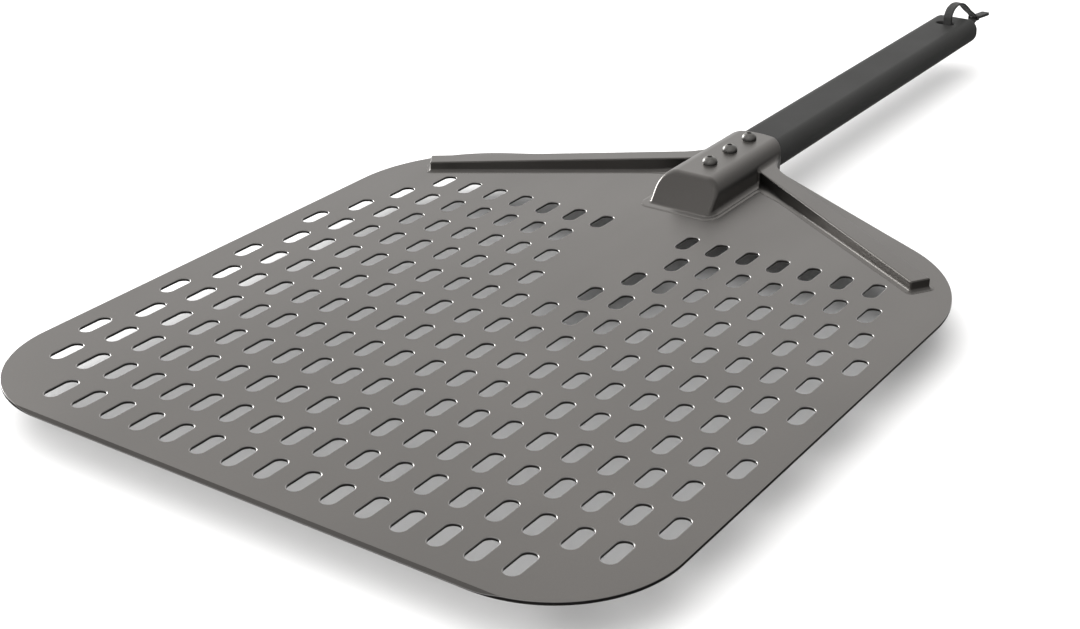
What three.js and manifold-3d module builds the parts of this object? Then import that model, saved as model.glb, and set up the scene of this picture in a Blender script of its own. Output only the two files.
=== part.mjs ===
// Pizza peel: a perforated blade, a pressed bracket with two stiffening ribs, a screwed-on
// handle and a hanging strap.
//
// Frame: millimetres. X runs across the blade, +Y from the blade's front edge towards the end of
// the handle, +Z up. Every Y counts from the line where the blade's front bevel starts and every
// Z from the handle's underside; at the end the whole peel moves along Y, so that its origin is
// in the middle of its length.

import * as THREE from 'three';
import { mergeVertices } from 'three/addons/utils/BufferGeometryUtils.js';
import Module from 'manifold-3d';

const wasm = await Module();
wasm.setup();

// ---------------------------------------------------------------- driving dimensions

const SEAT_GAP = 0.3; // clearance kept between pieces that rest on each other
const OVERSHOOT = 5; // how far a cutting solid runs past the piece it cuts

const BLADE = {
  halfWidth: 157,
  top: 2.5, // its underside lies a little above the handle's
  thickness: 1.5,
  bevelRun: 1.5, // the bevelled front edge reaches this far ahead of the flat top
  bevelDrop: 1.2,
  frontCornerRadius: 52,
  rearCornerRadius: 80,
  rearCornerCentreY: 264.7,
  shoulderAngle: THREE.MathUtils.degToRad(60.75), // direction of the shoulder's outward normal
  neckHalfWidth: 14.2,
  neckFilletRadius: 12,
  neckEndY: 399.2,
  tangHalfWidth: 7.2,
  tangEndY: 440,
};

// Perforation: rows of slots, each row running across the blade. A row holds the slots whose
// distance from the centre line lies between inner and outer, counted in slot pitches.
const SLOT = { length: 16, width: 6.5, arcSegments: 3 };
const ROWS = {
  firstY: 19.5,
  spacing: 24,
  evenPitch: 16,
  oddPitch: 15.91,
  spans: [
    { inner: 0, outer: 7 },
    { inner: 0.5, outer: 8.5 },
    { inner: 0, outer: 9 },
    { inner: 0.5, outer: 8.5 },
    { inner: 0, outer: 9 },
    { inner: 0.5, outer: 8.5 },
    { inner: 0, outer: 9 },
    { inner: 0.5, outer: 8.5 },
    { inner: 1, outer: 9 },
    { inner: 1.5, outer: 8.5 },
    { inner: 2, outer: 8 },
    { inner: 1.5, outer: 7.5 },
  ],
};

const SHEET = 2; // bracket's sheet thickness in the hood and the ribs
const HOOD = {
  halfWidth: 17.2,
  top: 17.6,
  cornerRadius: 8.6,
  noseFootY: 316.3, // where the sloping nose meets the foot flange
  noseTopY: 327.5, // where it meets the hood's top
  rimSideY: 388.3, // rear rim on the side walls
  rimTopY: 398.3, // rear rim on the centre line
};

// Foot flange round the hood and along the ribs
const FOOT = {
  thickness: 0.8,
  halfWidth: 21.6,
  frontY: 312.5,
  rearY: 388,
  cornerRadius: 7,
  ribMargin: 1.6, // how far the flange stands out beside a rib
};

// Right-hand rib: its front top edge runs from (rootX, rootY) to (tipX, tipY) in plan.
const RIB = {
  rootX: 22,
  rootY: 363.5,
  tipX: 133.4,
  tipY: 290,
  width: 10.2,
  rootHeight: 10.2, // Z of the rib's top at the root
  tipHeight: 7.8,
  buriedLength: 14, // how far the rib runs on into the hood's wall
  hollowLead: 2, // how far its hollow starts before the root
};

const HANDLE = {
  halfWidth: 15,
  height: 15,
  cornerRadius: 6.8,
  frontY: 334,
  endY: 663.5,
  endRounding: 2.4,
};

// Slot through the handle for the strap, and the groove underneath that the strap returns in
const STRAP_SLOT = {
  y: 645.8,
  width: 11.4,
  length: 6.4,
  endRadius: 3.1,
  grooveHalfWidth: 4.9,
  grooveDepth: 2,
};

const SCREW = {
  firstY: 346.3,
  pitch: 20.6,
  headRadius: 3.8,
  headHeight: 3.6,
  headEdge: 0.5, // straight side of the head, under its dome
  domeSteps: 5,
  shankRadius: 2,
  length: 13,
  pointRadius: 1.5,
  pointLength: 0.7,
  socketAcrossFlats: 2.5,
  socketDepth: 1.8,
};
const SCREWS = ['front', 'middle', 'rear'].map((name, place) => ({
  name,
  y: SCREW.firstY + place * SCREW.pitch,
}));
const INSERT = {
  outerRadius: 3,
  innerRadius: 2.1,
  length: 8,
  baseZ: 6,
  grooveDepth: 0.5,
  grooveWidth: 1.6,
};
const INSERT_BORE = { radius: 3.25, floor: 1 }; // floor: wall left under the bore, above the blade
const HOOD_HOLE_RADIUS = 2.3;

// Hanging strap: a flat band that rises out of the slot, arches over the end of the handle and
// returns underneath. Its two ends meet behind the handle and run on together as a tail.
// The centre line of the band is given in (Y, Z), once round the loop from the slot's mouth.
const STRAP = {
  centreX: 1.7,
  halfWidth: 2.8,
  thickness: 1,
  loop: [
    [645.2, 15],
    [645, 20],
    [648.4, 23.6],
    [655.2, 25],
    [663.2, 23.7],
    [669.9, 20.4],
    [677, 15.9],
    [684, 12],
    [687.2, 10.3],
    [688.8, 8.5],
    [687.3, 6.7],
    [681, 4.3],
    [672, 1.9],
    [665, 0.8],
    [657, 0.7],
    [650, 0.7],
    [646.9, 1.5],
    [645.6, 4],
  ],
  samples: 72,
  tail: { startY: 687.8, startZ: 8.2, endY: 710, endZ: 5.8 },
};

// ---------------------------------------------------------------- materials

const finish = (color, roughness, metalness) =>
  new THREE.MeshStandardMaterial({ color, roughness, metalness });

const MATERIALS = {
  anodised: finish(0x86827e, 0.45, 0.8),
  steel: finish(0xb4b2af, 0.25, 1),
  brass: finish(0xb58d45, 0.35, 1),
  grip: finish(0x50504d, 0.7, 0),
  webbing: finish(0x1b1b1c, 0.85, 0),
};

// ---------------------------------------------------------------- solids

/** Turns a closed three.js geometry into a manifold solid. */
function solidOf(geometry) {
  const bare = geometry.clone();
  bare.deleteAttribute('normal');
  bare.deleteAttribute('uv');
  const merged = mergeVertices(bare, 1e-4);
  return new wasm.Manifold(
    new wasm.Mesh({
      numProp: 3,
      vertProperties: new Float32Array(merged.attributes.position.array),
      triVerts: new Uint32Array(merged.index.array),
    }),
  );
}

/** Turns a manifold solid back into a three.js geometry. */
function geometryOf(solid) {
  const mesh = solid.getMesh();
  const geometry = new THREE.BufferGeometry();
  geometry.setAttribute('position', new THREE.BufferAttribute(mesh.vertProperties.slice(), 3));
  geometry.setIndex(new THREE.BufferAttribute(mesh.triVerts.slice(), 1));
  geometry.computeVertexNormals();
  return geometry;
}

const unite = (solids) => solids.reduce((sum, solid) => sum.add(solid));

/** A plan shape (X, Y) raised from z = bottom to z = top. */
function plate(shape, bottom, top, curveSegments = 12) {
  const geometry = new THREE.ExtrudeGeometry(shape, {
    depth: top - bottom,
    bevelEnabled: false,
    curveSegments,
  });
  return geometry.translate(0, 0, bottom);
}

/** A section in (X, Z) run along Y from y0 to y1, with both ends rounded by `rounding`. */
function prismAlongY(shape, y0, y1, rounding = 0) {
  const geometry = new THREE.ExtrudeGeometry(shape, {
    depth: y1 - y0 - 2 * rounding,
    bevelEnabled: rounding > 0,
    bevelThickness: rounding,
    bevelSize: rounding,
    bevelOffset: -rounding,
    bevelSegments: 3,
    curveSegments: 6,
  });
  return geometry.rotateX(Math.PI / 2).translate(0, y1 - rounding, 0);
}

/** A section in (Y, Z) run across X from -halfWidth to +halfWidth. */
function prismAcrossX(shape, halfWidth) {
  const geometry = new THREE.ExtrudeGeometry(shape, {
    depth: 2 * halfWidth,
    bevelEnabled: false,
    curveSegments: 10,
  });
  // (shape x, shape y, depth) becomes (Y, Z, X)
  const swap = new THREE.Matrix4().makeBasis(
    new THREE.Vector3(0, 1, 0),
    new THREE.Vector3(0, 0, 1),
    new THREE.Vector3(1, 0, 0),
  );
  return geometry.applyMatrix4(swap).translate(-halfWidth, 0, 0);
}

/** An upright cylinder between two heights. */
function post(radius, x, y, bottom, top, segments = 24) {
  const geometry = new THREE.CylinderGeometry(radius, radius, top - bottom, segments);
  return geometry.rotateX(Math.PI / 2).translate(x, y, (bottom + top) / 2);
}

/** A polygon from a list of [x, y] pairs. */
const polygon = (points) => new THREE.Shape(points.map(([x, y]) => new THREE.Vector2(x, y)));

/** A rectangle with four rounded corners. */
function roundedRectangle(x0, y0, x1, y1, radius) {
  const shape = new THREE.Shape();
  shape.moveTo(x0 + radius, y0);
  shape.lineTo(x1 - radius, y0);
  shape.absarc(x1 - radius, y0 + radius, radius, -Math.PI / 2, 0);
  shape.lineTo(x1, y1 - radius);
  shape.absarc(x1 - radius, y1 - radius, radius, 0, Math.PI / 2);
  shape.lineTo(x0 + radius, y1);
  shape.absarc(x0 + radius, y1 - radius, radius, Math.PI / 2, Math.PI);
  shape.lineTo(x0, y0 + radius);
  shape.absarc(x0 + radius, y0 + radius, radius, Math.PI, 1.5 * Math.PI);
  return shape;
}

// ---------------------------------------------------------------- blade

/** Centre and tangent points of the neck's concave fillet, right-hand side. */
function neckFillet() {
  const { rearCornerRadius, rearCornerCentreY, halfWidth, shoulderAngle } = BLADE;
  const normal = new THREE.Vector2(Math.cos(shoulderAngle), Math.sin(shoulderAngle));
  const cornerCentre = new THREE.Vector2(halfWidth - rearCornerRadius, rearCornerCentreY);
  const centreX = BLADE.neckHalfWidth + BLADE.neckFilletRadius;
  const offset = cornerCentre.dot(normal) + rearCornerRadius + BLADE.neckFilletRadius;
  return { x: centreX, y: (offset - centreX * normal.x) / normal.y };
}

/** The blade's right-hand outline, from the middle of the front edge to the end of the tang. */
function halfOutline() {
  const b = BLADE;
  const neck = neckFillet();
  const path = new THREE.Path();
  path.moveTo(0, -b.bevelRun);
  path.lineTo(b.halfWidth - b.frontCornerRadius, -b.bevelRun);
  path.absarc(
    b.halfWidth - b.frontCornerRadius, b.frontCornerRadius - b.bevelRun, b.frontCornerRadius,
    -Math.PI / 2, 0,
  );
  path.lineTo(b.halfWidth, b.rearCornerCentreY);
  path.absarc(
    b.halfWidth - b.rearCornerRadius, b.rearCornerCentreY, b.rearCornerRadius, 0, b.shoulderAngle,
  );
  path.absarc(neck.x, neck.y, b.neckFilletRadius, b.shoulderAngle - Math.PI, -Math.PI, true);
  path.lineTo(b.neckHalfWidth, b.neckEndY);
  path.lineTo(b.tangHalfWidth, b.neckEndY);
  path.lineTo(b.tangHalfWidth, b.tangEndY);
  return path.getPoints(12);
}

/** The blade's whole outline. */
function bladeOutline() {
  const right = halfOutline();
  const left = right
    .slice(1)
    .reverse()
    .map((p) => new THREE.Vector2(-p.x, p.y));
  return new THREE.Shape([...right, ...left]);
}

/** Outline of one slot, centred on (x, y), long along Y. */
function slotOutline(x, y) {
  const radius = SLOT.width / 2;
  const reach = SLOT.length / 2 - radius;
  const points = [];
  for (const end of [1, -1]) {
    for (let i = 0; i <= SLOT.arcSegments; i += 1) {
      const angle = (Math.PI * i) / SLOT.arcSegments + (end > 0 ? 0 : Math.PI);
      const along = end * reach + radius * Math.sin(angle);
      points.push(new THREE.Vector2(x + radius * Math.cos(angle), y + along));
    }
  }
  return new THREE.Path(points);
}

/** Centres of every slot in the blade. */
function slotCentres() {
  const centres = [];
  ROWS.spans.forEach(({ inner, outer }, row) => {
    const pitch = row % 2 === 0 ? ROWS.evenPitch : ROWS.oddPitch;
    for (let place = -outer; place <= outer; place += 1) {
      if (Math.abs(place) >= inner) {
        centres.push([place * pitch, ROWS.firstY + row * ROWS.spacing]);
      }
    }
  });
  return centres;
}

function blade() {
  const { top, thickness, bevelRun, bevelDrop, halfWidth } = BLADE;
  const shape = bladeOutline();
  shape.holes = slotCentres().map(([x, y]) => slotOutline(x, y));
  const reach = bevelRun + OVERSHOOT;
  const aboveBevel = polygon([
    [0, top],
    [0, top + OVERSHOOT],
    [-reach, top + OVERSHOOT],
    [-reach, top - (reach * bevelDrop) / bevelRun],
  ]);
  return geometryOf(
    solidOf(plate(shape, top - thickness, top)).subtract(
      solidOf(prismAcrossX(aboveBevel, halfWidth + OVERSHOOT)),
    ),
  );
}

// ---------------------------------------------------------------- bracket

/** The hood as a block with its sloping nose, shrunk by `inset` on every side but the open ones. */
function hoodBlock(inset, bottom, rearY) {
  const w = HOOD.halfWidth - inset;
  const top = HOOD.top - inset;
  const r = HOOD.cornerRadius - inset;
  const section = new THREE.Shape();
  section.moveTo(-w, bottom);
  section.lineTo(w, bottom);
  section.lineTo(w, top - r);
  section.absarc(w - r, top - r, r, 0, Math.PI / 2);
  section.lineTo(-w + r, top);
  section.absarc(-w + r, top - r, r, Math.PI / 2, Math.PI);

  const footTop = BLADE.top + FOOT.thickness;
  const run = HOOD.noseTopY - HOOD.noseFootY;
  const rise = HOOD.top - footTop;
  const shift = (inset * Math.hypot(run, rise)) / rise; // the nose plane moved inwards by inset
  const noseY = (z) => HOOD.noseFootY + shift + ((z - footTop) * run) / rise;
  const low = bottom - OVERSHOOT;
  const high = top + OVERSHOOT;
  const ahead = FOOT.frontY - 2 * OVERSHOOT;
  const noseCut = polygon([[ahead, low], [noseY(low), low], [noseY(high), high], [ahead, high]]);

  return solidOf(prismAlongY(section, ahead + SHEET, rearY)).subtract(
    solidOf(prismAcrossX(noseCut, HOOD.halfWidth + OVERSHOOT)),
  );
}

/** Everything behind the hood's tongue-shaped rear rim, as a cutting solid. */
function rimCut() {
  const reach = HOOD.halfWidth + OVERSHOOT;
  const rear = HOOD.rimTopY + 2 * OVERSHOOT;
  const shape = new THREE.Shape();
  shape.moveTo(-reach, rear);
  shape.lineTo(-reach, HOOD.rimSideY);
  shape.lineTo(-HOOD.halfWidth - SEAT_GAP, HOOD.rimSideY);
  shape.absellipse(
    0, HOOD.rimSideY, HOOD.halfWidth + SEAT_GAP, HOOD.rimTopY - HOOD.rimSideY, Math.PI, 0, true,
  );
  shape.lineTo(reach, HOOD.rimSideY);
  shape.lineTo(reach, rear);
  return solidOf(plate(shape, 0, HOOD.top + OVERSHOOT, 16));
}

/** Unit vectors of the right-hand rib in plan: along it, outwards, and its visible length. */
function ribAxes() {
  const along = new THREE.Vector2(RIB.tipX - RIB.rootX, RIB.tipY - RIB.rootY);
  const length = along.length();
  along.normalize();
  return { along, out: new THREE.Vector2(-along.y, along.x), length };
}

/**
 * A block that follows the right-hand rib, in its (along, height) elevation: it starts `before`
 * the root, ends `beyond` the tip, is `grow` wider on each side and `lower` below the rib's top.
 */
function ribBlock({ before, beyond, grow, lower, bottom }) {
  const { along, out, length } = ribAxes();
  const slope = (RIB.tipHeight - RIB.rootHeight) / length;
  const topAt = (s) => RIB.rootHeight - lower + slope * s;
  const elevation = polygon([
    [-before, bottom],
    [length + beyond, bottom],
    [length + beyond, topAt(length + beyond)],
    [-before, topAt(-before)],
  ]);
  const geometry = new THREE.ExtrudeGeometry(elevation, {
    depth: RIB.width + 2 * grow,
    bevelEnabled: false,
  });
  // (along, height, depth) becomes the rib's own axes; depth grows towards the front, so it
  // starts on the rear side
  const rear = RIB.width + grow;
  const place = new THREE.Matrix4().makeBasis(
    new THREE.Vector3(along.x, along.y, 0),
    new THREE.Vector3(0, 0, 1),
    new THREE.Vector3(-out.x, -out.y, 0),
  );
  place.setPosition(RIB.rootX + out.x * rear, RIB.rootY + out.y * rear, 0);
  return solidOf(geometry.applyMatrix4(place));
}

/** The left-hand twin of a right-hand solid. */
const mirrored = (solid) => solid.mirror([1, 0, 0]);

function bracket() {
  const base = BLADE.top;
  const footTop = base + FOOT.thickness;
  const outerRib = ribBlock({ before: RIB.buriedLength, beyond: 0, grow: 0, lower: 0, bottom: base });
  const innerRib = ribBlock({
    before: RIB.hollowLead, beyond: -SHEET, grow: -SHEET, lower: SHEET, bottom: base - OVERSHOOT,
  });
  const ribFoot = ribBlock({
    before: RIB.buriedLength, beyond: FOOT.ribMargin, grow: FOOT.ribMargin, lower: 0, bottom: base,
  });
  const hoodFoot = solidOf(
    plate(
      roundedRectangle(-FOOT.halfWidth, FOOT.frontY, FOOT.halfWidth, FOOT.rearY, FOOT.cornerRadius),
      base,
      footTop,
      4,
    ),
  );
  const footSlab = solidOf(plate(bladeOutline(), base, footTop));
  const feet = unite([hoodFoot, ribFoot, mirrored(ribFoot)]).intersect(footSlab);

  const shell = unite([
    hoodBlock(0, base, HOOD.rimTopY + OVERSHOOT),
    outerRib,
    mirrored(outerRib),
    feet,
  ]);
  const hollows = unite([
    hoodBlock(SHEET, base - OVERSHOOT, HOOD.rimTopY + 2 * OVERSHOOT),
    innerRib,
    mirrored(innerRib),
  ]);
  const holes = unite(
    SCREWS.map(({ y }) =>
      solidOf(post(HOOD_HOLE_RADIUS, 0, y, HOOD.top - 2 * SHEET, HOOD.top + OVERSHOOT)),
    ),
  );
  return geometryOf(shell.subtract(hollows).subtract(rimCut()).subtract(holes));
}

// ---------------------------------------------------------------- handle

function handle() {
  const w = HANDLE.halfWidth;
  const body = solidOf(
    prismAlongY(
      roundedRectangle(-w, 0, w, HANDLE.height, HANDLE.cornerRadius),
      HANDLE.frontY,
      HANDLE.endY,
      HANDLE.endRounding,
    ),
  );
  const seat = BLADE.top + SEAT_GAP;
  const overBlade = roundedRectangle(
    -w - OVERSHOOT, HANDLE.frontY - OVERSHOOT, w + OVERSHOOT, BLADE.neckEndY + SEAT_GAP, 1,
  );
  const tang = BLADE.tangHalfWidth + SEAT_GAP;
  const tangRebate = polygon([
    [-tang, BLADE.neckEndY - OVERSHOOT],
    [tang, BLADE.neckEndY - OVERSHOOT],
    [tang, BLADE.tangEndY + SEAT_GAP],
    [-tang, BLADE.tangEndY + SEAT_GAP],
  ]);
  const halfSlot = STRAP_SLOT.length / 2;
  const slot = roundedRectangle(
    -STRAP_SLOT.width / 2, STRAP_SLOT.y - halfSlot, STRAP_SLOT.width / 2, STRAP_SLOT.y + halfSlot,
    STRAP_SLOT.endRadius,
  );
  const groove = STRAP_SLOT.grooveHalfWidth;
  const grooveShape = polygon([
    [-groove, STRAP_SLOT.y],
    [groove, STRAP_SLOT.y],
    [groove, HANDLE.endY + OVERSHOOT],
    [-groove, HANDLE.endY + OVERSHOOT],
  ]);
  const cuts = [
    solidOf(plate(overBlade, -OVERSHOOT, seat)),
    solidOf(plate(tangRebate, -OVERSHOOT, seat)),
    solidOf(plate(slot, -OVERSHOOT, HANDLE.height + OVERSHOOT, 5)),
    solidOf(plate(grooveShape, -OVERSHOOT, STRAP_SLOT.grooveDepth)),
    ...SCREWS.map(({ y }) =>
      solidOf(post(INSERT_BORE.radius, 0, y, seat + INSERT_BORE.floor, HANDLE.height + OVERSHOOT)),
    ),
  ];
  return geometryOf(cuts.reduce((rest, cut) => rest.subtract(cut), body));
}

// ---------------------------------------------------------------- fasteners

/** A profile of [radius, height] pairs, turned about the Z axis. */
function turned(profile, segments) {
  const points = profile.map(([radius, height]) => new THREE.Vector2(radius, height));
  return new THREE.LatheGeometry(points, segments).rotateX(Math.PI / 2);
}

/** A domed socket-head screw, with the underside of its head at z = 0. */
function screw() {
  const { headRadius, headHeight, headEdge, domeSteps, shankRadius, length } = SCREW;
  const dome = [];
  for (let i = 0; i < domeSteps; i += 1) {
    const angle = (i / domeSteps) * (Math.PI / 2);
    const height = headEdge + (headHeight - headEdge) * Math.sin(angle);
    dome.push([headRadius * Math.cos(angle), height]);
  }
  const body = turned(
    [
      [0, -length],
      [SCREW.pointRadius, -length],
      [shankRadius, -length + SCREW.pointLength],
      [shankRadius, 0],
      [headRadius, 0],
      ...dome,
      [0, headHeight],
    ],
    24,
  );
  const socketRadius = SCREW.socketAcrossFlats / Math.sqrt(3);
  const socket = new THREE.CylinderGeometry(socketRadius, socketRadius, 2 * SCREW.socketDepth, 6);
  socket.rotateX(Math.PI / 2).translate(0, 0, headHeight);
  return geometryOf(solidOf(body).subtract(solidOf(socket)));
}

/** A threaded insert: a ring with a retaining groove round its outside, standing on z = 0. */
function insert() {
  const { outerRadius, innerRadius, length, grooveDepth, grooveWidth } = INSERT;
  const grooveLow = (length - grooveWidth) / 2;
  const ring = [
    [innerRadius, 0],
    [outerRadius, 0],
    [outerRadius, grooveLow],
    [outerRadius - grooveDepth, grooveLow],
    [outerRadius - grooveDepth, grooveLow + grooveWidth],
    [outerRadius, grooveLow + grooveWidth],
    [outerRadius, length],
    [innerRadius, length],
    [innerRadius, 0],
  ];
  return turned(ring, 24);
}

// ---------------------------------------------------------------- strap

/** The two edges of the band's loop in (Y, Z): `side` is +1 for the outer edge, -1 for the inner. */
function loopEdge(side) {
  const centres = STRAP.loop.map(([y, z]) => new THREE.Vector3(y, z, 0));
  const curve = new THREE.CatmullRomCurve3(centres, true, 'centripetal');
  const edge = [];
  for (let i = 0; i < STRAP.samples; i += 1) {
    const point = curve.getPointAt(i / STRAP.samples);
    const tangent = curve.getTangentAt(i / STRAP.samples);
    const reach = (side * STRAP.thickness) / 2;
    edge.push(new THREE.Vector2(point.x - tangent.y * reach, point.y + tangent.x * reach));
  }
  return edge;
}

function strap() {
  const { startY, startZ, endY, endZ } = STRAP.tail;
  const ring = new THREE.Shape(loopEdge(1));
  ring.holes = [new THREE.Path(loopEdge(-1).reverse())];
  const t = STRAP.thickness;
  const tail = polygon([
    [startY, startZ - t],
    [endY, endZ - t],
    [endY, endZ + t],
    [startY, startZ + t],
  ]);
  const band = solidOf(prismAcrossX(ring, STRAP.halfWidth)).add(
    solidOf(prismAcrossX(tail, STRAP.halfWidth)),
  );
  return geometryOf(band).translate(STRAP.centreX, 0, 0);
}

// ---------------------------------------------------------------- assembly

function piece(name, geometry, material, position = [0, 0, 0]) {
  const mesh = new THREE.Mesh(geometry, material);
  mesh.name = name;
  mesh.position.set(...position);
  return mesh;
}

const peel = new THREE.Group();
peel.name = 'pizza_peel';
peel.add(piece('blade', blade(), MATERIALS.anodised));
peel.add(piece('bracket', bracket(), MATERIALS.anodised));
peel.add(piece('handle', handle(), MATERIALS.grip));
SCREWS.forEach(({ name, y }) => {
  peel.add(piece(`screw_${name}`, screw(), MATERIALS.steel, [0, y, HOOD.top]));
  peel.add(piece(`insert_${name}`, insert(), MATERIALS.brass, [0, y, INSERT.baseZ]));
});
peel.add(piece('strap', strap(), MATERIALS.webbing));
peel.position.y = (BLADE.bevelRun - STRAP.tail.endY) / 2;

export default peel;
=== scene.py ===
"""Looks of a perforated pizza peel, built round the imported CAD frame.

Shapes are worked out in the peel's own millimetres: X across the blade, Y from the line where the
blade's front bevel starts towards the handle's end, Z up from the handle's underside. A mesh is
moved into the frame, in metres, when it is made.
"""

import math

import bpy
import numpy as np
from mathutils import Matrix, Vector
from mathutils.geometry import delaunay_2d_cdt


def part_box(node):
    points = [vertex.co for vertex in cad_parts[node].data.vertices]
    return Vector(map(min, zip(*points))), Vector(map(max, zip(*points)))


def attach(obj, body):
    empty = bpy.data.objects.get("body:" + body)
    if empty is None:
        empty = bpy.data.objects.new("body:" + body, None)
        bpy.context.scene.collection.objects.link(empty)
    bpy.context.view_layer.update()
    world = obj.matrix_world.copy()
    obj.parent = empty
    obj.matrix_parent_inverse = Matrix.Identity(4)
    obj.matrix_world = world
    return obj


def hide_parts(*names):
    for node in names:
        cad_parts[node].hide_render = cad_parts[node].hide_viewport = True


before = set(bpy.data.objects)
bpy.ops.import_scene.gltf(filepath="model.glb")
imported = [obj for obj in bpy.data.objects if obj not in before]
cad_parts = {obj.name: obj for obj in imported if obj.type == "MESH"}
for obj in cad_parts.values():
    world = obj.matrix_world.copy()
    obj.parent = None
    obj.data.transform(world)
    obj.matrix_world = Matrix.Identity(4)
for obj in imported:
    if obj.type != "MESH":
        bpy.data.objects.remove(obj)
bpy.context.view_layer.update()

MM = 0.001
BEVEL = {"run": 1.5, "drop": 1.2}  # the front edge, ahead of the blade's flat top
ORIGIN_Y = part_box("blade")[0].y + BEVEL["run"] * MM  # where Y = 0 lies in the frame, in metres


def box_mm(node):
    """Lowest and highest corner of a CAD node in the peel's millimetres."""
    shift = np.array([0, ORIGIN_Y, 0])
    return [(np.array(corner) - shift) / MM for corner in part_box(node)]


# ------------------------------------------------------------------ driving dimensions

blade_low, blade_high = box_mm("blade")
bracket_low, bracket_high = box_mm("bracket")
handle_low, handle_high = box_mm("handle")

BLADE = {
    "half_width": blade_high[0],
    "top": blade_high[2],
    "thickness": blade_high[2] - blade_low[2],
    "tang_end_y": blade_high[1],
    "front_corner_radius": 52,
    "rear_corner_radius": 80,
    "rear_corner_centre_y": 264.7,
    "shoulder_angle": math.radians(60.75),  # direction of the shoulder's outward normal
    "neck_half_width": 12.4,
    "neck_fillet_radius": 10,
    "neck_end_y": 399.2,
    "tang_half_width": 7.2,
    "edge_radius": 0.25,
}
SLOT = {"length": 16, "width": 6.5, "edge_radius": 0.5}
ROWS = {"first_y": 19.5, "spacing": 24, "pitches": (16, 15.91)}
# each row: (innermost, outermost) slot on either side of the centre line, in slot pitches
ROW_SPANS = [
    (0, 7), (0.5, 8.5), (0, 9), (0.5, 8.5), (0, 9), (0.5, 8.5),
    (0, 9), (0.5, 8.5), (1, 9), (1.5, 8.5), (2, 8), (1.5, 7.5),
]

SHEET = 2  # thickness of the bracket's sheet
HOOD = {
    "half_width": 17.2,
    "top": bracket_high[2],
    "corner_radius": 8.6,
    "nose_foot_y": 316.3,
    "nose_top_y": 327.5,
    "nose_foot_z": 3.3,
    "nose_edge_radius": 2.2,
    "rim_side_y": 388.3,
    "rim_top_y": bracket_high[1],
    "rim_margin": 0.3,  # the rim's curve is this much wider than the hood, on either side
    "rim_straight_from": 4,  # beyond this far outside the hood's wall the rim runs straight across
}
# Right-hand rib: its front top edge runs from root to tip in plan.
RIB = {
    "root": np.array([22, 363.5]),
    "tip": np.array([133.4, 290]),
    "width": 10.2,
    "root_height": 10.2,
    "tip_height": 7.8,
    "edge_radius": 0.7,
    "root_fillet": 2,  # between the rib and the hood's wall
    "gusset_fillet": 13,  # in plan, between the rib's rear side and the hood's wall
    "gusset_start": 8,  # how far behind the root the gusset starts
    "gusset_inset": 1.5,  # how deep it starts in the hood's wall
}
# Foot: the low skirt that spreads from the hood's and the ribs' walls on to the blade.
FOOT = {
    "thickness": 0.32,
    "taper": 1.3,  # the foot thins out over this far at its edge
    "edge_radius": 0.1,
    "hood_reach": 4.4,
    "rib_reach": 2.4,
    "corner_fillet": 5,  # of its edge, where rib and hood meet
    "hood_fillet": 2.8,
    "nose_fillet": 0.9,
    "rib_fillet": 1.4,
    "rib_blend": (6, 22),  # hood sizes turn into rib sizes over this stretch outside the hood's wall
    "nose_blend": 6,  # the nose's fillet turns into the hood's over this far behind the nose's foot
}
BRACKET_GAP = 0.02  # between the bracket's lower edge and the blade

HANDLE = {
    "half_width": handle_high[0],
    "height": handle_high[2],
    "corner_radius": 6.8,
    "front_y": handle_low[1],
    "end_y": handle_high[1],
    "end_radius": 2.4,
    "seat_gap": 0.3,
    "seat_edge_radius": 0.3,
    "bore_gap": 0.25,  # between an insert and its bore
    "bore_floor": 1.3,  # the bores stop this far above the blade
}
STRAP_SLOT = {"y": 645.8, "half_width": 5.7, "half_length": 3.2, "mouth_radius": 0.7}
GROOVE = {"half_width": 4.9, "depth": 2, "edge_radius": 0.5}

SCREWS = {"front": 346.3, "middle": 366.9, "rear": 387.5}
SCREW = {
    "head_radius": 3.8,
    "head_edge": 0.5,
    "head_height": 3.6,
    "shank_radius": 2,
    "length": 13,
    "socket_across_flats": 2.5,
    "socket_depth": 1.8,
    "thread_pitch": 0.7,
    "thread_depth": 0.35,
    "hole_gap": 0.3,  # between the shank and its hole in the hood
}
INSERT = {
    "outer": 3,
    "inner": 2.1,
    "base_z": 6,
    "length": 8,
    "groove_depth": 0.5,
    "groove": 1.6,
    "knurl_depth": 0.15,
    "knurl_ridges": 20,
    "knurl_lead": 6,
    "thread_depth": 0.3,
}

FLOOR_GAP = 18  # the peel floats this far above the floor, with nothing under it

# Light of the world along an axis: (dot product with the axis, strength) where it starts to grow
# and where it stops.
GENERAL_LIGHT = {"axis": (-0.4, -0.55, 0.7), "low": (-0.3, 0.05), "high": (1, 2.9)}
MIRRORED_LIGHT = {"axis": (-0.6, 0.74, 0.1), "low": (0.4, 0), "high": (1, 0.92)}
MIRRORED_SKY = {"axis": (0, 0, 1), "low": (0, 0.015), "high": (0.15, 0.22)}
KEY_LIGHT = {"direction": (-0.96, 0.2, 0.14), "distance": 6, "size": 2.4, "power": 280}

# ------------------------------------------------------------------ distance fields
#
# A solid is a function of x, y, z that is negative inside it and grows by about one per millimetre.


def both(a, b, radius):
    """Inside a and b, with the edge between them rounded."""
    outside = np.hypot(np.maximum(a + radius, 0), np.maximum(b + radius, 0))
    return np.minimum(np.maximum(a, b), -radius) + outside


def either(a, b, radius):
    """Inside a or b, with the corner between them filled by a fillet."""
    near = np.hypot(np.maximum(radius - a, 0), np.maximum(radius - b, 0))
    return np.maximum(np.minimum(a, b), radius) - near


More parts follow.
